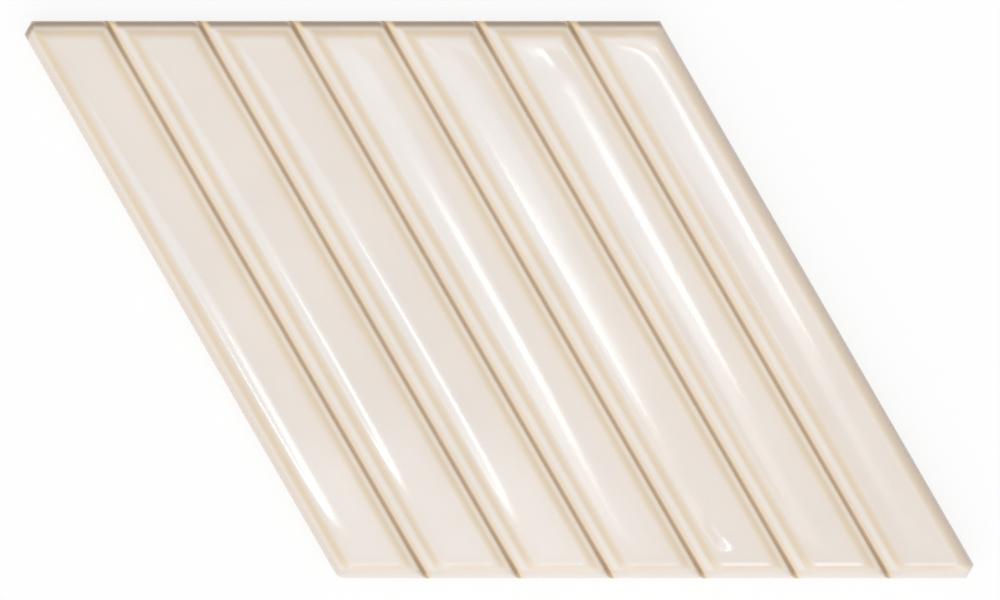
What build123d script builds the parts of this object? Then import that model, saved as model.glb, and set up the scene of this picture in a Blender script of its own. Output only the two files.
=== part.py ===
from build123d import *
import os
from math import radians, sin, sqrt, tan

# Rhombus wall tile, pressed and fired as one piece. It lies on its back with the glazed
# face up. X runs along two of its sides, and the ribs run along the other two.

# Driving dimensions, in millimetres and degrees
tile_side = 152.0  # each side of the rhombus, before its corners are rounded
sharp_angle = 60.0  # its two sharp corners
tile_thickness = 10.0  # from the back to the crests of the ribs
back_chamfer = 0.8  # round the foot of the side walls

rib_count = 7
groove_gap = 0.8  # between the walls of neighbouring ribs
groove_depth = 2.2  # from the crests to the groove floors
groove_mouth_radius = 0.8  # where a groove floor runs out over the tile's edge
shoulder_radius = 2.4  # roll along the edges of every rib
crest_corner_radius = 0.2  # what is left of a rib's corner inside the roll
dish_radius = 65.0  # hollow across the top of every rib

key_count = 4  # pockets to a row on the back, and rows of them
key_border = 9.0  # land along the tile's edges
key_land = 4.0  # land between pockets
key_depth = 0.8
key_corner_radius = 2.0

# Tile outline: what follows from the driving dimensions
slant = sin(radians(sharp_angle))
lean = 1.0 / tan(radians(sharp_angle))  # drift of the ribs along X for each step down Y
tile_width = tile_side * slant  # square across, from side to side
corner_radius = shoulder_radius + crest_corner_radius
groove_floor = tile_thickness - groove_depth

# Ribs: the axis of each hollow stands where the rolled crests reach the full thickness
rib_width = (tile_width - (rib_count - 1) * groove_gap) / rib_count
rib_step = rib_width + groove_gap
crest_offset = rib_width / 2 - shoulder_radius  # from a rib's middle line
crest_reach = sqrt((dish_radius + shoulder_radius) ** 2 - crest_offset**2)
dish_axis = tile_thickness - shoulder_radius + crest_reach
rim_height = dish_axis - sqrt(dish_radius**2 - (rib_width / 2) ** 2)

# Back: pockets of one width between border and border
key_width = (tile_width - 2 * key_border - (key_count - 1) * key_land) / key_count
key_step = key_width + key_land
key_rows = [(row - (key_count - 1) / 2) * key_step for row in range(key_count)]


def leaning_block(width, depth):
    """Outline that measures width square across its leaning sides, and depth along Y."""
    half = width / slant / 2
    drift = depth / 2 * lean
    Polygon(
        (drift - half, -depth / 2),
        (drift + half, -depth / 2),
        (half - drift, depth / 2),
        (-half - drift, depth / 2),
    )


# Ribs: bars side by side, hollowed along their tops, with every top edge rolled over
with BuildPart() as ribs:
    with BuildSketch() as rib_plan:
        with GridLocations(rib_step / slant, 0, rib_count, 1):
            leaning_block(rib_width, tile_width)
        fillet(rib_plan.vertices(), corner_radius)
    extrude(amount=rim_height)
    across_ribs = Plane(origin=(0, 0, dish_axis), x_dir=(0, 0, 1), z_dir=(lean, -1, 0))
    with BuildSketch(across_ribs):
        with GridLocations(0, rib_step, 1, rib_count):
            Circle(dish_radius)
    extrude(amount=tile_side, both=True, mode=Mode.SUBTRACT)
    rib_tops = ribs.faces().sort_by(Axis.Z)[-rib_count:]
    fillet(rib_tops.edges(), shoulder_radius)

# Web: the slab that carries the ribs, and whose top is the floor of the grooves
with BuildPart() as web:
    with BuildSketch() as web_plan:
        leaning_block(tile_width, tile_width)
        fillet(web_plan.vertices(), corner_radius)
    extrude(amount=groove_floor)
    fillet(web.faces().sort_by(Axis.Z)[-1].edges(), groove_mouth_radius)

# Tile: ribs and web in one piece, keyed on the back with rows of shallow pockets
with BuildPart() as tile:
    add(ribs.part)
    add(web.part)
    back = tile.faces().sort_by(Axis.Z)[0]
    chamfer(back.outer_wire().edges(), back_chamfer)
    with BuildSketch() as key_plan:
        for row_y in key_rows:
            with Locations((-row_y * lean, row_y)):
                with GridLocations(key_step / slant, 0, key_count, 1):
                    leaning_block(key_width, key_width)
        fillet(key_plan.vertices(), key_corner_radius)
    extrude(amount=key_depth, mode=Mode.SUBTRACT)

os.makedirs("parts", exist_ok=True)
tile.part.label = "tile"
export_step(tile.part, "parts/tile.step")
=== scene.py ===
import math

import bmesh
import bpy
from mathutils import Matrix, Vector


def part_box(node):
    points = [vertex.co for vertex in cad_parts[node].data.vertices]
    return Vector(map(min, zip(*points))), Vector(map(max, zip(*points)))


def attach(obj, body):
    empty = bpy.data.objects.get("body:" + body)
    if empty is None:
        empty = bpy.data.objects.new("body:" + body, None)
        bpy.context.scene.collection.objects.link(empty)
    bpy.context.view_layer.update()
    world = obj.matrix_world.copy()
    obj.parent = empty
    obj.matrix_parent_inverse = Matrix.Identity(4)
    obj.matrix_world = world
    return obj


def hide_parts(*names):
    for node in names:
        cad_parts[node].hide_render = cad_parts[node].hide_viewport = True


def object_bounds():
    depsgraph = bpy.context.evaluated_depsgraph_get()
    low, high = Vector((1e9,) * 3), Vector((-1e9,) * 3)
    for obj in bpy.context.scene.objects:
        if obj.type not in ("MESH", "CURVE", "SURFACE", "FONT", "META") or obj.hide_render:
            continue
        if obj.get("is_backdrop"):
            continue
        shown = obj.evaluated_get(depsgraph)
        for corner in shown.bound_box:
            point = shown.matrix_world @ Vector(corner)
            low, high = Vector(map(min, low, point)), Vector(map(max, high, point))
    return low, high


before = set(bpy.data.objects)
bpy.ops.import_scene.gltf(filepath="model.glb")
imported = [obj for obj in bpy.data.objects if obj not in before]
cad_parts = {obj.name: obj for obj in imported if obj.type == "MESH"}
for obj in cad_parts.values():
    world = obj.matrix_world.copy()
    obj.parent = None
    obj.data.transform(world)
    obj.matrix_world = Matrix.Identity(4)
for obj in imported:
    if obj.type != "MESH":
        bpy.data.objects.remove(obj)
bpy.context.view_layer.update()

scene = bpy.context.scene

# Tile
# One pressed slab of buff earthenware with a row of ribs on its face, dipped in cream glaze
# and fired once. The die leaves the tops of the ribs slightly hollow, and the glaze rounds
# every edge, so the ribs roll over into narrow grooves and over the tile's own edges.
mm = 0.001
tile_low, tile_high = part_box("tile")
sharp_corner = math.radians(60)
tile_width = tile_high.y - tile_low.y
tile_side = tile_width / math.sin(sharp_corner)
across = Vector((math.sin(sharp_corner), math.cos(sharp_corner), 0))
rib_count = 7
groove_gap = 0.4 * mm
groove_floor = tile_high.z - 1.1 * mm
rib_step = (tile_width + groove_gap) / rib_count
rib_half = (rib_step - groove_gap) / 2
rib_middles = [(rib - (rib_count - 1) / 2) * rib_step for rib in range(rib_count)]

# The rolled edge of a rib, as steps inwards and upwards from the groove floor to the crest,
# and one step on down into the hollow.
rib_rings = ((0.30, 0.50), (1.15, 0.37), (2.0, 0.235), (1.9, -0.16))
rim_width = sum(width for width, height in rib_rings) * mm
hollow_line = 2.0 * mm
end_row = tile_width / 2 - rim_width - 0.7 * mm
end_slope = 1.45 * mm
end_lift = 0.1 * mm
foot_lift = 0.12 * mm
low_row = -49 * mm
next_row = -33 * mm
row_places = [-end_row, low_row, next_row, *(place * mm for place in (-16, 0, 16, 34, 53)), end_row]
edge_rolls = ((1.5, 0.25), (0.4, 0.75), (0.05, 0.9))
tip_cut = 3.15 * mm
tip_rings = ((0, 0), (0.9, 0.60), (1.9, 0.95))
wall_rows = (5.0 * mm, 0.8 * mm)
mitre_crease = 0.45
corner_creases = {1: 1.0, -1: 0.3}
crest_drift = Vector((0.49, -0.25, 0)) * mm
groove_drift = Vector((-0.4, 0, 0)) * mm
foot_drift = 0.6 * mm
right_drift = 0.5 * mm

# Each hollow is a shallow trough that warped a little in the kiln: how deep it is, how far its
# lowest line lies right of the rib's middle at the top and at the bottom of the tile, and what
# share of the depth is left and how far it rises where it runs out at the top and at the bottom.
trough_radius = 65.0
troughs = (
    (0.17, -0.4, -0.6, -0.1, 0.1, 0.9, 0.03),
    (0.12, -0.4, -1.3, -0.1, 0.1, 0.2, 0.11),
    (0.13, -1.3, -1.4, -0.1, 0.1, 0.3, 0.08),
    (0.13, 1.6, -0.9, 0.4, 0.1, 0.3, 0.03),
    (0.036, -0.5, -0.4, 1.0, 0.1, 1.0, 0.03),
    (0.12, 1.0, -0.5, 0.5, 0.13, 0.6, 0.03),
    (0.13, 1.6, 0.4, 0.4, 0.03, 0.6, 0.03),
)


def pick(kind, test):
    """Selects the vertices, edges or faces of the mesh in edit mode that pass the test."""
    bpy.ops.mesh.select_mode(type={"verts": "VERT", "edges": "EDGE", "faces": "FACE"}[kind])
    bpy.ops.mesh.select_all(action="DESELECT")
    mesh = bpy.context.edit_object.data
    shape = bmesh.from_edit_mesh(mesh)
    for element in getattr(shape, kind):
        if test(element):
            element.select_set(True)
    shape.select_flush_mode()
    bmesh.update_edit_mesh(mesh)


def cut(point, normal):
    """Divides the whole mesh in edit mode along a plane."""
    bpy.ops.mesh.select_all(action="SELECT")
    bpy.ops.mesh.bisect(plane_co=point, plane_no=normal, threshold=0.001 * mm)


def add_leaning_sheet(name, width, level):
    """Adds a flat sheet with the tile's own outline, and leaves it in edit mode."""
    bpy.ops.object.select_all(action="DESELECT")
    bpy.ops.mesh.primitive_plane_add(size=1)
    sheet = bpy.context.object
    sheet.name = sheet.data.name = name
    bpy.ops.object.mode_set(mode="EDIT")
    bpy.ops.transform.resize(value=(width / math.sin(sharp_corner), width, 1))
    bpy.ops.transform.translate(value=(0, 0, level))
    for end in (1, -1):
        pick("verts", lambda vert: vert.co.y * end > 0)
        bpy.ops.transform.translate(value=(-end * width / 2 / math.tan(sharp_corner), 0, 0))
    return sheet


def rib_offset(point):
    """How far a point lies right of the middle of its rib."""
    return min((point.dot(across) - middle for middle in rib_middles), key=abs)


tile = add_leaning_sheet("glazed_tile", tile_width, groove_floor)
for middle in rib_middles:
    for line in (-rib_half, -hollow_line, 0, hollow_line, rib_half):
        if abs(middle + line) < tile_width / 2 - 0.1 * mm:
            cut(across * (middle + line), across)
for row_place in row_places:
    cut(Vector((0, row_place, 0)), Vector((0, 1, 0)))

pick("faces", lambda face: abs(rib_offset(face.calc_center_median())) < rib_half)
for width, height in rib_rings:
    bpy.ops.mesh.inset(thickness=width * mm, depth=height * mm, use_boundary=True, use_even_offset=True)

def on_hollow_end(point):
    """True on the short sides of the hollows."""
    on_line = abs(tile_width / 2 - abs(point.y) - rim_width) < 0.05 * mm
    return on_line and point.z > tile_high.z - 0.25 * mm


def on_crest(point):
    """True along the crests, all round each rib."""
    return abs(point.z - groove_floor - sum(height for width, height in rib_rings[:3]) * mm) < 0.001 * mm


rib_way = Vector((-math.cos(sharp_corner), math.sin(sharp_corner), 0))
pick("verts", lambda vert: on_hollow_end(vert.co) and vert.co.y > 0)
bpy.ops.transform.translate(value=(0, 0, end_lift))
pick("verts", lambda vert: on_hollow_end(vert.co) and vert.co.y < 0)
bpy.ops.transform.translate(value=Vector((0, 0, foot_lift)) - rib_way * end_slope / math.sin(sharp_corner))

hollow_edge = rib_half - rim_width
for middle, trough in zip(rib_middles, troughs):
    depth, top_shift, low_shift, top_share, top_lift, low_share, low_lift = trough
    low_shares = {-end_row: 0, low_row: low_share, next_row: (1 + low_share) / 2}
    row_lifts = {-end_row: foot_lift, low_row: low_lift * mm, end_row: top_lift * mm}
    for row_place in row_places:
        share = low_shares.get(row_place, 1 - (1 - top_share) * max(row_place / end_row, 0))
        lift = row_lifts.get(row_place, 0)
        shift = top_shift + (low_shift - top_shift) * (0.5 - row_place / tile_width)
        for line in (-hollow_edge, -hollow_line, 0, hollow_line, hollow_edge):
            slip = rim_width * across.y if abs(line) == hollow_edge else 0
            pick(
                "verts",
                lambda vert: abs(abs(vert.co.y - row_place) - slip) < 0.1 * mm
                and abs(vert.co.dot(across) - middle - line) < 0.1 * mm,
            )
            sag = depth * mm * (1 - (line / hollow_edge) ** 2)
            tilt = share * shift * line / trough_radius
            bpy.ops.transform.translate(value=(0, 0, lift - share * sag - tilt))


pick("verts", lambda vert: on_crest(vert.co) and vert.co.y < -end_row)
bpy.ops.transform.translate(value=-rib_way * foot_drift / math.sin(sharp_corner))
pick("verts", lambda vert: on_crest(vert.co) and vert.co.dot(across) > tile_width / 2 - 3.5 * mm)
bpy.ops.transform.translate(value=across * right_drift)


def on_mitre(vert):
    """True where the rolled side of a rib meets its rolled end."""
    to_side = rib_half - abs(rib_offset(vert.co))
    return abs(to_side - tile_width / 2 + abs(vert.co.y)) < 0.05 * mm


tip_way = Vector((math.cos(sharp_corner / 2), -math.sin(sharp_corner / 2), 0))
tip_reach = tile_side * math.cos(sharp_corner / 2) - tip_cut


def to_tip(point):
    """How far a point lies behind the small cuts across the sharp corners."""
    return tip_reach - abs(point.dot(tip_way))


def to_outline(point):
    """How far inside the tile's outline a point lies."""
    return min(tile_width / 2 - max(abs(point.y), abs(point.dot(across))), to_tip(point))


pick("edges", lambda edge: all(on_mitre(vert) for vert in edge.verts))
bpy.ops.transform.edge_crease(value=mitre_crease)
for step, rise in tip_rings:
    ring_level = groove_floor + rise * mm
    for end in (1, -1):
        bpy.ops.mesh.select_all(action="SELECT")
        bpy.ops.mesh.bisect(
            plane_co=end * tip_way * (tip_reach - step * mm),
            plane_no=end * tip_way,
            clear_outer=step == 0,
            threshold=0.001 * mm,
        )
    pick("verts", lambda vert: abs(to_tip(vert.co) - step * mm) < 0.01 * mm and vert.co.z > ring_level)
    bpy.ops.transform.resize(value=(1, 1, 0), center_override=(0, 0, ring_level))
for reach, sink in edge_rolls:
    pick("verts", lambda vert: to_outline(vert.co) < reach * mm)
    bpy.ops.transform.translate(value=(0, 0, -sink * mm))
pick("verts", lambda vert: vert.co.z > tile_high.z - 0.3 * mm)
bpy.ops.transform.translate(value=crest_drift)
pick(
    "verts",
    lambda vert: abs(rib_offset(vert.co)) > rib_half - 1.6 * mm and abs(vert.co.dot(across)) < 60 * mm,
)
bpy.ops.transform.translate(value=groove_drift)

level = groove_floor - sum(sink for reach, sink in edge_rolls) * mm
for wall_row in wall_rows:
    pick("edges", lambda edge: edge.is_boundary)
    bpy.ops.mesh.extrude_region_move(TRANSFORM_OT_translate={"value": (0, 0, wall_row - level)})
    level = wall_row


def on_corner(point):
    """True on the two blunt corners of the outline."""
    return tile_width / 2 - min(abs(point.y), abs(point.dot(across))) < 0.05 * mm


for end, corner_crease in corner_creases.items():
    pick("edges", lambda edge: all(on_corner(vert.co) and vert.co.y * end > 0 for vert in edge.verts))
    bpy.ops.transform.edge_crease(value=corner_crease)
bpy.ops.object.mode_set(mode="OBJECT")

smooth = tile.modifiers.new("rounded_by_glaze", "SUBSURF")
smooth.levels = smooth.render_levels = 3
smooth.boundary_smooth = "ALL"
bpy.ops.object.modifier_apply(modifier=smooth.name)

# Slow waves, a few hundredths of a millimetre high, that the glaze sets with.
waves = bpy.data.textures.new("glaze_waves", "CLOUDS")
waves.noise_scale = 36 * mm
waves.noise_depth = 1
flow = tile.modifiers.new("glaze_flow", "DISPLACE")
flow.texture = waves
flow.texture_coords = "LOCAL"
flow.direction = "Z"
flow.strength = 0.03 * mm
bpy.ops.object.modifier_apply(modifier=flow.name)

# Two small dimples, one near the foot of the fifth rib and one near the top of the sixth. Each
# has its place, half the length of its floor, its depth and the reach of its slopes.
face_level = 9 * mm
dimple_half = 0.5 * mm
dimples = (
    (across * (rib_middles[4] - 1.0 * mm) - rib_way * 73 * mm, 2.4 * mm, 0.11 * mm, 3.2 * mm),
    (across * (rib_middles[5] + 0.3 * mm) + rib_way * 41.5 * mm, 0.8 * mm, 0.07 * mm, 4.5 * mm),
)


def in_dimple(point, middle, half_length):
    """True on the floor of a dimple, which is longer along the rib."""
    gap = point - middle
    on_floor = abs(gap.dot(across)) < dimple_half and abs(gap.dot(rib_way)) < half_length
    return on_floor and point.z > face_level


bpy.ops.object.mode_set(mode="EDIT")
for middle, half_length, depth, reach in dimples:
    pick("verts", lambda vert: in_dimple(vert.co, middle, half_length))
    bpy.ops.transform.translate(
        value=(0, 0, -depth),
        use_proportional_edit=True,
        proportional_edit_falloff="SMOOTH",
        proportional_size=reach,
    )
bpy.ops.object.mode_set(mode="OBJECT")

# The foot of the side walls is chamfered, and the back is keyed with rows of shallow pockets.
bpy.ops.object.mode_set(mode="EDIT")
foot_scale = 1 - 2 * wall_rows[-1] / tile_width
pick("edges", lambda edge: edge.is_boundary)
bpy.ops.mesh.extrude_region_move()
bpy.ops.transform.resize(value=(foot_scale, foot_scale, 0), center_override=(0, 0, 0))
bpy.ops.object.mode_set(mode="OBJECT")

key_count = 4
key_land = 4 * mm
key_width = (tile_width - 2 * 9 * mm - (key_count - 1) * key_land) / key_count
key_step = key_width + key_land
key_corner_radius = 2 * mm
key_corner_cuts = {
    -1: key_corner_radius / math.tan(sharp_corner / 2),
    1: key_corner_radius * math.tan(sharp_corner / 2),
}
key_steps = {
    "along_row": Vector((key_step / math.sin(sharp_corner), 0, 0)),
    "row_by_row": Vector((-key_step / math.tan(sharp_corner), key_step, 0)),
}
pocket = add_leaning_sheet("back_pockets", key_width, 0)
bpy.ops.mesh.select_all(action="SELECT")
bpy.ops.mesh.flip_normals()
for side, corner_cut in key_corner_cuts.items():
    pick("verts", lambda vert: vert.co.x * vert.co.y * side > 0)
    bpy.ops.mesh.bevel(offset=corner_cut, offset_type="OFFSET", segments=5, affect="VERTICES")
pick("faces", lambda face: True)
for width, sink in ((0.15, 0.1), (0.25, 0.45), (0.4, 0.2), (0.5, 0.05)):
    bpy.ops.mesh.inset(thickness=width * mm, depth=-sink * mm, use_boundary=True, use_even_offset=True)
bpy.ops.mesh.select_all(action="SELECT")
first = -(key_count - 1) / 2 * (key_steps["along_row"] + key_steps["row_by_row"])
bpy.ops.transform.translate(value=first)
bpy.ops.object.mode_set(mode="OBJECT")
for name, step in key_steps.items():
    row = pocket.modifiers.new(name, "ARRAY")
    row.count = key_count
    row.use_relative_offset = False
    row.use_constant_offset = True
    row.constant_offset_displace = step
    bpy.ops.object.modifier_apply(modifier=row.name)

bpy.ops.object.select_all(action="DESELECT")
pocket.select_set(True)
tile.select_set(True)
bpy.context.view_layer.objects.active = tile
bpy.ops.object.join()
bpy.ops.object.mode_set(mode="EDIT")
pick("edges", lambda edge: edge.is_boundary)
bpy.ops.mesh.fill(use_beauty=True)
bpy.ops.mesh.select_all(action="SELECT")
bpy.ops.mesh.normals_make_consistent(inside=False)
bpy.ops.object.mode_set(mode="OBJECT")
bpy.ops.object.shade_smooth_by_angle(angle=math.radians(35))


def linear(colour):
    """sRGB hex to the linear values that the shader takes."""
    parts = [int(colour[i : i + 2], 16) / 255 for i in (1, 3, 5)]
    return [c / 12.92 if c <= 0.04045 else ((c + 0.055) / 1.055) ** 2.4 for c in parts] + [1.0]


def add_node(tree, kind, links=None, **settings):
    """Adds a shader node with its settings. Links holds a socket or a value for each input."""
    node = tree.nodes.new("ShaderNode" + kind)
    for name, value in settings.items():
        setattr(node, name, value)
    for entry, value in (links or {}).items():
        if isinstance(value, bpy.types.NodeSocket):
            tree.links.new(value, node.inputs[entry])
        else:
            node.inputs[entry].default_value = value
    return node


# Glazed earthenware: a glassy cream glaze that flowed as it melted. It is thick and pale on the
# slopes, and thin over the crests, where the buff clay shows through as amber. The brown down in the
# grooves is painted shade, and the brown along the top edge is partly thin glaze and partly painted
# shade. It stops in a wavy line on the side walls, and below that and on the back the clay is bare and matt.
cream = linear("#EAE0D7")
painted_sheen_cream = linear("#F0E8E0")
slope_cream = linear("#EAE2D9")
amber = linear("#E2CFB5")
top_edge_tan_and_painted_shade = linear("#B39B83")
rim_cream = linear("#E2D5C9")
right_edge_painted_shade = linear("#CDB79F")
painted_fill_cream = linear("#F2E5D4")
foot_painted_shade = linear("#DDD4CC")
painted_highlight_white = linear("#FCF7F1")
mouth_painted_light = linear("#F6DFB6")
groove_gold = linear("#E4CCA8")
painted_groove_shade_tan = linear("#DAC6AC")
painted_groove_shade_brown = linear("#C4A98B")
clay = linear("#CFB291")
clay_dark = linear("#BC9A77")

glaze = bpy.data.materials.new("cream_glaze_on_earthenware")
glaze.use_nodes = True
tree = glaze.node_tree
shader = tree.nodes["Principled BSDF"]
place = add_node(tree, "TexCoord").outputs["Object"]
along_ribs = add_node(tree, "Mapping", {"Vector": place, "Rotation": (0, 0, sharp_corner - math.pi / 2)})
rib_place = along_ribs.outputs["Vector"]
rib_axes = add_node(tree, "SeparateXYZ", {"Vector": rib_place})
axes = add_node(tree, "SeparateXYZ", {"Vector": place})

first_groove = rib_count / 2 * rib_step
crest_shift = crest_drift.dot(across)
from_groove = add_node(tree, "Math", {0: rib_axes.outputs["X"], 1: first_groove - crest_shift}, operation="ADD")
to_groove = add_node(tree, "Math", {0: from_groove.outputs[0], 1: rib_step / 2}, operation="PINGPONG")
from_root = add_node(
    tree, "Math", {0: rib_axes.outputs["X"], 1: first_groove - groove_drift.dot(across)}, operation="ADD"
)
to_root = add_node(tree, "Math", {0: from_root.outputs[0], 1: rib_step / 2}, operation="PINGPONG")
height = add_node(tree, "Math", {0: axes.outputs["Y"], 1: crest_drift.y}, operation="SUBTRACT")
from_level = add_node(tree, "Math", {0: height.outputs[0]}, operation="ABSOLUTE")
end_line = (tile_width + groove_gap) / 2
to_end = add_node(tree, "Math", {0: end_line, 1: from_level.outputs[0]}, operation="SUBTRACT")
low_end = add_node(
    tree,
    "MapRange",
    {"Value": axes.outputs["Y"], "From Min": low_row / 2, "From Max": low_row, "To Max": foot_drift},
)
to_end = add_node(tree, "Math", {0: to_end.outputs[0], 1: low_end.outputs[0]}, operation="ADD")
right_side = add_node(
    tree,
    "MapRange",
    {
        "Value": rib_axes.outputs["X"],
        "From Min": rib_middles[-1],
        "From Max": rib_middles[-1] + hollow_line,
        "To Max": right_drift,
    },
)
to_side = add_node(tree, "Math", {0: to_groove.outputs[0], 1: right_side.outputs[0]}, operation="ADD")
to_edge = add_node(
    tree, "Math", {0: to_side.outputs[0], 1: to_end.outputs[0], 2: 1.0 * mm}, operation="SMOOTH_MIN"
)
to_top = add_node(tree, "Math", {0: tile_width / 2, 1: axes.outputs["Y"]}, operation="SUBTRACT")
past_tip = add_node(tree, "VectorMath", {0: place, 1: -tip_way}, operation="DOT_PRODUCT")
before_tip = add_node(tree, "Math", {0: tip_reach, 1: past_tip.outputs["Value"]}, operation="SUBTRACT")
to_far_side = add_node(tree, "Math", {0: to_top.outputs[0], 1: before_tip.outputs[0]}, operation="MINIMUM")

stretched = add_node(tree, "Mapping", {"Vector": rib_place, "Scale": (1 / (5 * mm), 1 / (26 * mm), 1 / (9 * mm))})
runs = add_node(tree, "TexNoise", {"Vector": stretched.outputs[0], "Scale": 1, "Detail": 3})
run_shift = add_node(tree, "MapRange", {"Value": runs.outputs["Fac"], "To Min": -0.6 * mm, "To Max": 0.6 * mm})
run_edge = add_node(tree, "Math", {0: to_edge.outputs[0], 1: run_shift.outputs[0]}, operation="ADD")

thin_outside = add_node(
    tree,
    "MapRange",
    {"Value": to_edge.outputs[0], "From Min": 1.6 * mm, "From Max": 2.8 * mm},
    interpolation_type="SMOOTHSTEP",
)
thin_inside = add_node(
    tree,
    "MapRange",
    {"Value": run_edge.outputs[0], "From Min": 4.8 * mm, "From Max": 2.9 * mm},
    interpolation_type="SMOOTHSTEP",
)
crest_share = add_node(tree, "Math", {0: thin_outside.outputs[0], 1: thin_inside.outputs[0]}, operation="MULTIPLY")
to_foot = add_node(tree, "Math", {0: axes.outputs["Y"], 1: tile_width / 2}, operation="ADD")
# Painted sheen: the lower parts of the left ribs are painted a paler cream.
painted_sheen = add_node(
    tree,
    "MapRange",
    {"Value": to_foot.outputs[0], "From Min": 45 * mm, "From Max": 18 * mm},
    interpolation_type="SMOOTHSTEP",
)
left_ribs = add_node(
    tree, "MapRange", {"Value": rib_axes.outputs["X"], "From Min": rib_middles[4], "From Max": rib_middles[2]}
)
painted_sheen = add_node(tree, "Math", {0: painted_sheen.outputs[0], 1: left_ribs.outputs[0]}, operation="MULTIPLY")
above_foot = add_node(
    tree, "MapRange", {"Value": to_foot.outputs[0], "From Min": 2 * mm, "From Max": 5 * mm, "To Min": 0.5}
)
thin_glaze = add_node(tree, "Math", {0: crest_share.outputs[0], 1: above_foot.outputs[0]}, operation="MULTIPLY")
thinning = add_node(
    tree, "MapRange", {"Value": run_edge.outputs[0], "From Min": 7.5 * mm, "From Max": 3.0 * mm, "To Max": 0.2}
)
on_slope = add_node(
    tree,
    "MapRange",
    {"Value": to_edge.outputs[0], "From Min": 2.9 * mm, "From Max": 1.9 * mm},
    interpolation_type="SMOOTHSTEP",
)
# Partly thin glaze and partly painted shade: the rolled top edge, on the far side from the key, is painted dark
# tan.
top_edge_thin_glaze_and_shade = add_node(
    tree,
    "MapRange",
    {"Value": to_far_side.outputs[0], "From Min": 2.1 * mm, "From Max": 0.8 * mm},
    interpolation_type="SMOOTHSTEP",
)
on_roll = add_node(
    tree, "MapRange", {"Value": axes.outputs["Z"], "From Min": 7.0 * mm, "From Max": 8.2 * mm, "To Min": 0.15}
)
top_edge_thin_glaze_and_shade = add_node(tree, "Math", {0: top_edge_thin_glaze_and_shade.outputs[0], 1: on_roll.outputs[0]}, operation="MULTIPLY")
from_middle = add_node(tree, "Math", {0: rib_axes.outputs["X"]}, operation="ABSOLUTE")
from_line = add_node(tree, "Math", {0: axes.outputs["Y"]}, operation="ABSOLUTE")
furthest = add_node(tree, "Math", {0: from_middle.outputs[0], 1: from_line.outputs[0]}, operation="MAXIMUM")
on_rim = add_node(
    tree,
    "MapRange",
    {"Value": furthest.outputs[0], "From Min": tile_width / 2 - 2.4 * mm, "From Max": tile_width / 2 - 1.0 * mm},
    interpolation_type="SMOOTHSTEP",
)
# Painted shade: the bottom edge, which faces the key, is painted darker and greyer.
on_foot_shade = add_node(
    tree,
    "MapRange",
    {"Value": to_foot.outputs[0], "From Min": 2.6 * mm, "From Max": 1.2 * mm},
    interpolation_type="SMOOTHSTEP",
)
# Painted shade: the right edge, turned away from the key, is painted a darker tan.
right_edge_shade_share = add_node(
    tree,
    "MapRange",
    {
        "Value": rib_axes.outputs["X"],
        "From Min": tile_width / 2 - 2.2 * mm,
        "From Max": tile_width / 2 - 0.9 * mm,
        "To Max": 0.45,
    },
)
# Painted highlight: a thin white line inside the bottom end of each rib, strongest on the fifth to seventh ribs.
from_highlight_line = add_node(tree, "Math", {0: to_foot.outputs[0], 1: 3.5 * mm}, operation="SUBTRACT")
from_highlight_line = add_node(tree, "Math", {0: from_highlight_line.outputs[0]}, operation="ABSOLUTE")
painted_highlight_line = add_node(
    tree,
    "MapRange",
    {"Value": from_highlight_line.outputs[0], "From Min": 0.6 * mm, "From Max": 0.2 * mm},
    interpolation_type="SMOOTHSTEP",
)
for line, low, high, low_share, high_share in (
    (to_side.outputs[0], 4.0 * mm, 5.2 * mm, 0, 1),
    (axes.outputs["X"], 38 * mm, 52 * mm, 0.35, 0.85),
    (axes.outputs["X"], 88 * mm, 96 * mm, 1, 0.6),
):
    fade = add_node(
        tree,
        "MapRange",
        {"Value": line, "From Min": low, "From Max": high, "To Min": low_share, "To Max": high_share},
    )
    painted_highlight_line = add_node(tree, "Math", {0: painted_highlight_line.outputs[0], 1: fade.outputs[0]}, operation="MULTIPLY")
inner = add_node(tree, "Math", {0: from_middle.outputs[0], 1: 60 * mm}, operation="LESS_THAN")
beside_groove = add_node(
    tree, "Math", {0: from_root.outputs[0], 1: rib_step / 2, 2: -rib_step / 2}, operation="WRAP"
)
left_slope = add_node(
    tree,
    "MapRange",
    {"Value": beside_groove.outputs[0], "From Min": -0.4 * mm, "From Max": -1.0 * mm},
    interpolation_type="SMOOTHSTEP",
)
# Painted light: the mouths of the grooves under the top edge, where the shoulders catch the key, are painted pale
# gold.
from_mouth = add_node(tree, "Math", {0: beside_groove.outputs[0], 1: 1.0 * mm, 2: 0.0}, operation="SUBTRACT")
from_mouth = add_node(tree, "Math", {0: from_mouth.outputs[0]}, operation="ABSOLUTE")
at_mouth = add_node(
    tree,
    "MapRange",
    {"Value": from_mouth.outputs[0], "From Min": 1.3 * mm, "From Max": 0.4 * mm},
    interpolation_type="SMOOTHSTEP",
)
mouth_end = add_node(
    tree, "MapRange", {"Value": to_top.outputs[0], "From Min": 3.0 * mm, "From Max": 1.5 * mm, "To Max": 0.9}
)
lit_mouth_painted = add_node(tree, "Math", {0: at_mouth.outputs[0], 1: mouth_end.outputs[0]}, operation="MULTIPLY")
lit_mouth_painted = add_node(tree, "Math", {0: lit_mouth_painted.outputs[0], 1: inner.outputs[0]}, operation="MULTIPLY")
gold_gap = add_node(tree, "Math", {0: beside_groove.outputs[0], 1: 0.85 * mm}, operation="SUBTRACT")
gold_gap = add_node(tree, "Math", {0: gold_gap.outputs[0]}, operation="ABSOLUTE")
gold_line = add_node(
    tree, "MapRange", {"Value": gold_gap.outputs[0], "From Min": 0.9 * mm, "From Max": 0.3 * mm, "To Max": 0.55}
)
gold_line = add_node(tree, "Math", {0: gold_line.outputs[0], 1: inner.outputs[0]}, operation="MULTIPLY")
# Painted light: the right-facing slopes left of each groove, in the key's shade, are painted a paler warm cream.
painted_fill_on_shaded_slope = add_node(tree, "Math", {0: left_slope.outputs[0], 1: on_slope.outputs[0]}, operation="MULTIPLY")
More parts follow.
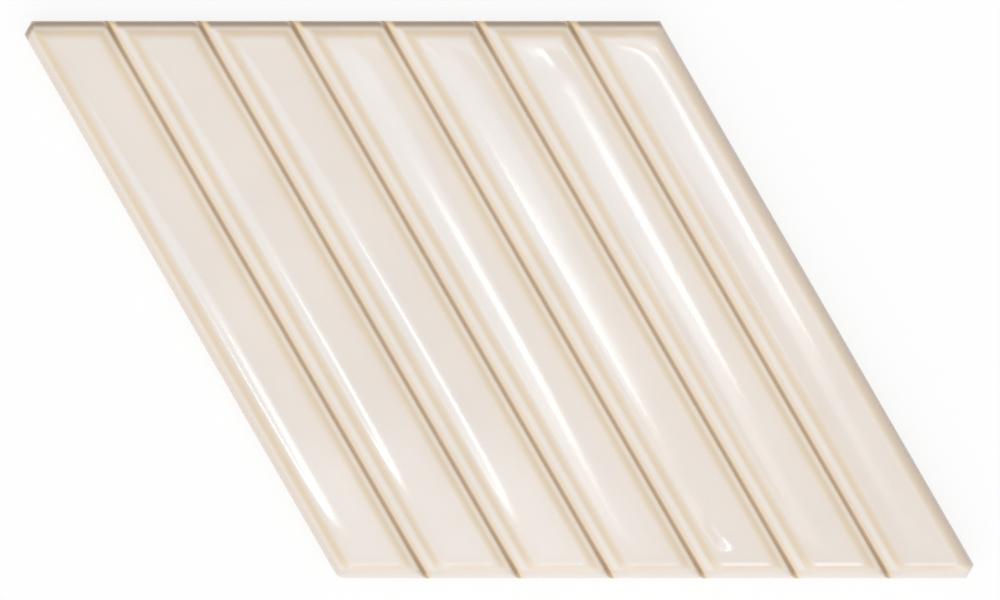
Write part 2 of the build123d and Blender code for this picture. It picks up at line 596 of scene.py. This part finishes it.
# Painted shade: a tan band and a narrow brown core darken the roots of the grooves.
groove_shade_shares = []
for wide, narrow in ((0.95, 0.25), (0.5, 0.15)):
    share = add_node(
        tree,
        "MapRange",
        {"Value": to_root.outputs[0], "From Min": wide * mm, "From Max": narrow * mm},
        interpolation_type="SMOOTHSTEP",
    )
    groove_shade_shares.append(add_node(tree, "Math", {0: share.outputs[0], 1: inner.outputs[0]}, operation="MULTIPLY"))

clouds = add_node(tree, "TexNoise", {"Vector": place, "Scale": 1 / (22 * mm), "Detail": 4})
cloud_tone = add_node(
    tree,
    "MapRange",
    {"Value": clouds.outputs["Fac"], "From Min": 0.3, "From Max": 0.7, "To Min": 0.975, "To Max": 1.015},
)
colour = cream
for share, tone in (
    (painted_sheen, painted_sheen_cream),
    (thinning, amber),
    (on_slope, slope_cream),
    (painted_fill_on_shaded_slope, painted_fill_cream),
    (thin_glaze, amber),
    (on_rim, rim_cream),
    (right_edge_shade_share, right_edge_painted_shade),
    (on_foot_shade, foot_painted_shade),
    (painted_highlight_line, painted_highlight_white),
    (top_edge_thin_glaze_and_shade, top_edge_tan_and_painted_shade),
    (gold_line, groove_gold),
    (lit_mouth_painted, mouth_painted_light),
    (groove_shade_shares[0], painted_groove_shade_tan),
    (groove_shade_shares[1], painted_groove_shade_brown),
):
    mixed = add_node(tree, "Mix", {0: share.outputs[0], 6: colour, 7: tone}, data_type="RGBA")
    colour = mixed.outputs[2]
toned = add_node(tree, "VectorMath", {0: colour, "Scale": cloud_tone.outputs[0]}, operation="SCALE")

drips = add_node(tree, "TexNoise", {"Vector": place, "Scale": 1 / (9 * mm), "Detail": 3})
glaze_line = add_node(
    tree, "MapRange", {"Value": drips.outputs["Fac"], "From Min": 0.25, "From Max": 0.75, "To Min": 1.6 * mm, "To Max": 4.2 * mm}
)
above_line = add_node(tree, "Math", {0: axes.outputs["Z"], 1: glaze_line.outputs[0]}, operation="SUBTRACT")
glazed = add_node(
    tree,
    "MapRange",
    {"Value": above_line.outputs[0], "From Min": -0.1 * mm, "From Max": 0.15 * mm},
    interpolation_type="SMOOTHSTEP",
)
lip = add_node(tree, "MapRange", {"Value": above_line.outputs[0], "From Min": 1.6 * mm, "From Max": 0.1 * mm})
lip_share = add_node(tree, "Math", {0: lip.outputs[0], 1: 0.8}, operation="MULTIPLY")
wall_glaze = add_node(tree, "Mix", {0: lip_share.outputs[0], 6: toned.outputs[0], 7: amber}, data_type="RGBA")

grit = add_node(tree, "TexNoise", {"Vector": place, "Scale": 1 / (0.9 * mm), "Detail": 4, "Roughness": 0.6})
grit_share = add_node(tree, "MapRange", {"Value": grit.outputs["Fac"], "From Min": 0.35, "From Max": 0.75})
bare = add_node(tree, "Mix", {0: grit_share.outputs[0], 6: clay, 7: clay_dark}, data_type="RGBA")
body = add_node(tree, "Mix", {0: glazed.outputs[0], 6: bare.outputs[2], 7: wall_glaze.outputs[2]}, data_type="RGBA")
dry_outside = add_node(tree, "MapRange", {"Value": to_groove.outputs[0], "From Min": 2 * mm, "From Max": 3 * mm})
dry_inside = add_node(tree, "MapRange", {"Value": to_groove.outputs[0], "From Min": 4.7 * mm, "From Max": 4.2 * mm})
dry = add_node(tree, "Math", {0: dry_outside.outputs[0], 1: dry_inside.outputs[0]}, operation="MULTIPLY")
off_ends = add_node(tree, "MapRange", {"Value": to_end.outputs[0], "From Min": 2.5 * mm, "From Max": 4.0 * mm})
dry = add_node(tree, "Math", {0: dry.outputs[0], 1: off_ends.outputs[0]}, operation="MULTIPLY")
dry_end = add_node(
    tree, "MapRange", {"Value": to_top.outputs[0], "From Min": 7.5 * mm, "From Max": 5.5 * mm, "To Max": 0.6}
)
dry = add_node(tree, "Math", {0: dry.outputs[0], 1: dry_end.outputs[0]}, operation="MAXIMUM")
gloss = add_node(tree, "MapRange", {"Value": dry.outputs[0], "To Min": 0.08, "To Max": 0.3})
rough = add_node(tree, "MapRange", {"Value": glazed.outputs[0], "To Min": 0.85, "To Max": gloss.outputs[0]})
bare_share = add_node(tree, "Math", {0: 1.0, 1: glazed.outputs[0]}, operation="SUBTRACT")
grain = add_node(
    tree, "Bump", {"Strength": bare_share.outputs[0], "Distance": 0.08 * mm, "Height": grit.outputs["Fac"]}
)
tree.links.new(body.outputs[2], shader.inputs["Base Color"])
tree.links.new(rough.outputs[0], shader.inputs["Roughness"])
tree.links.new(grain.outputs["Normal"], shader.inputs["Normal"])
shader.inputs["IOR"].default_value = 1.52
tile.data.materials.clear()
tile.data.materials.append(glaze)
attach(tile, "root")
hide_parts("tile")

# Floor
# A plain white table that the tile lies on. Seen straight, it is lit evenly, so the shadow of
# the tile stays faint.
bpy.ops.object.select_all(action="DESELECT")
bpy.ops.mesh.primitive_plane_add(size=20, location=(0, 0, -0.05 * mm))
floor = bpy.context.object
floor.name = "floor"
paper = bpy.data.materials.new("white_table")
paper.use_nodes = True
tree = paper.node_tree
table = tree.nodes["Principled BSDF"]
table.inputs["Base Color"].default_value = linear("#FBFBFB")
table.inputs["Roughness"].default_value = 1.0
table.inputs["Specular IOR Level"].default_value = 0.0
rays = add_node(tree, "LightPath").outputs
seen = add_node(tree, "Math", {0: rays["Is Camera Ray"], 1: rays["Is Glossy Ray"]}, operation="MAXIMUM")
seen = add_node(tree, "Math", {0: seen.outputs[0], 1: rays["Is Transmission Ray"]}, operation="MAXIMUM")
even_share = add_node(tree, "Math", {0: seen.outputs[0], 1: 0.85}, operation="MULTIPLY")
even_light = add_node(tree, "Emission", {"Color": (1, 1, 1, 1), "Strength": 1.0})
look = add_node(tree, "MixShader", {0: even_share.outputs[0], 1: table.outputs[0], 2: even_light.outputs[0]})
tree.links.new(look.outputs[0], tree.nodes["Material Output"].inputs["Surface"])
floor.data.materials.append(paper)
floor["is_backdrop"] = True

# Light
# A broad soft key from the near side, and a round lamp in a diffuser over the tile.
key_data = bpy.data.lights.new("key", "SUN")
key_data.energy = 1.9
key_data.angle = math.radians(100)
key = bpy.data.objects.new("key", key_data)
key.visible_glossy = False
scene.collection.objects.link(key)
key_from = Vector((-0.03, -1.0, 1.0))
key.rotation_euler = key_from.to_track_quat("Z", "Y").to_euler()

along = Vector((math.cos(sharp_corner), -math.sin(sharp_corner), 0))
lamp_place = across * 81 * mm + along * 20 * mm + Vector((0, 0, 1900 * mm))
diffuser_shift = across * 80 * mm - along * 100 * mm + Vector((0, 0, 10 * mm))
window_place = across * 199 * mm + along * 115 * mm + Vector((0, 0, 1900 * mm))
for name, length, width, radiance, tint, place in (
    ("lamp", 0.18, 0.082, 7.5, (1, 1, 1), lamp_place),
    ("diffuser", 0.36, 0.36, 2.4, (0.5, 0.76, 1.0), lamp_place + diffuser_shift),
    ("window", 0.16, 0.16, 1.6, (1, 1, 1), window_place),
):
    data = bpy.data.lights.new(name, "AREA")
    data.shape = "ELLIPSE"
    data.size = width
    data.size_y = length
    data.color = tint
    data.energy = radiance * math.pi * math.pi * length * width / 4
    lamp = bpy.data.objects.new(name, data)
    scene.collection.objects.link(lamp)
    lamp.location = place
    lamp.rotation_euler = (0, 0, math.pi / 2 - sharp_corner)

world = bpy.data.worlds.new("studio")
scene.world = world
world.use_nodes = True
tree = world.node_tree
sky = tree.nodes["Background"]
sky.inputs["Color"].default_value = (1, 1, 1, 1)
rays = add_node(tree, "LightPath").outputs
seen = add_node(tree, "Math", {0: rays["Is Camera Ray"], 1: rays["Is Glossy Ray"]}, operation="MAXIMUM")
seen = add_node(tree, "Math", {0: seen.outputs[0], 1: rays["Is Transmission Ray"]}, operation="MAXIMUM")
level = add_node(tree, "MapRange", {"Value": seen.outputs[0], "To Min": 0.53, "To Max": 1.0})
tree.links.new(level.outputs[0], sky.inputs["Strength"])

# Camera
# A long lens straight above the tile.
photo_width, photo_height = 1000, 600
tile_centre_px = (499.0, 299.6)
side_px = 645.6
metre_per_px = tile_side / side_px
camera_data = bpy.data.cameras.new("camera")
camera_data.lens = 200
camera_data.sensor_width = 36
camera = bpy.data.objects.new("camera", camera_data)
scene.collection.objects.link(camera)
distance = photo_width * metre_per_px * camera_data.lens / camera_data.sensor_width
camera.location = (
    (photo_width / 2 - tile_centre_px[0]) * metre_per_px,
    (tile_centre_px[1] - photo_height / 2) * metre_per_px,
    tile_high.z + distance,
)
scene.camera = camera
scene.view_settings.view_transform = "Standard"

low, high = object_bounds()
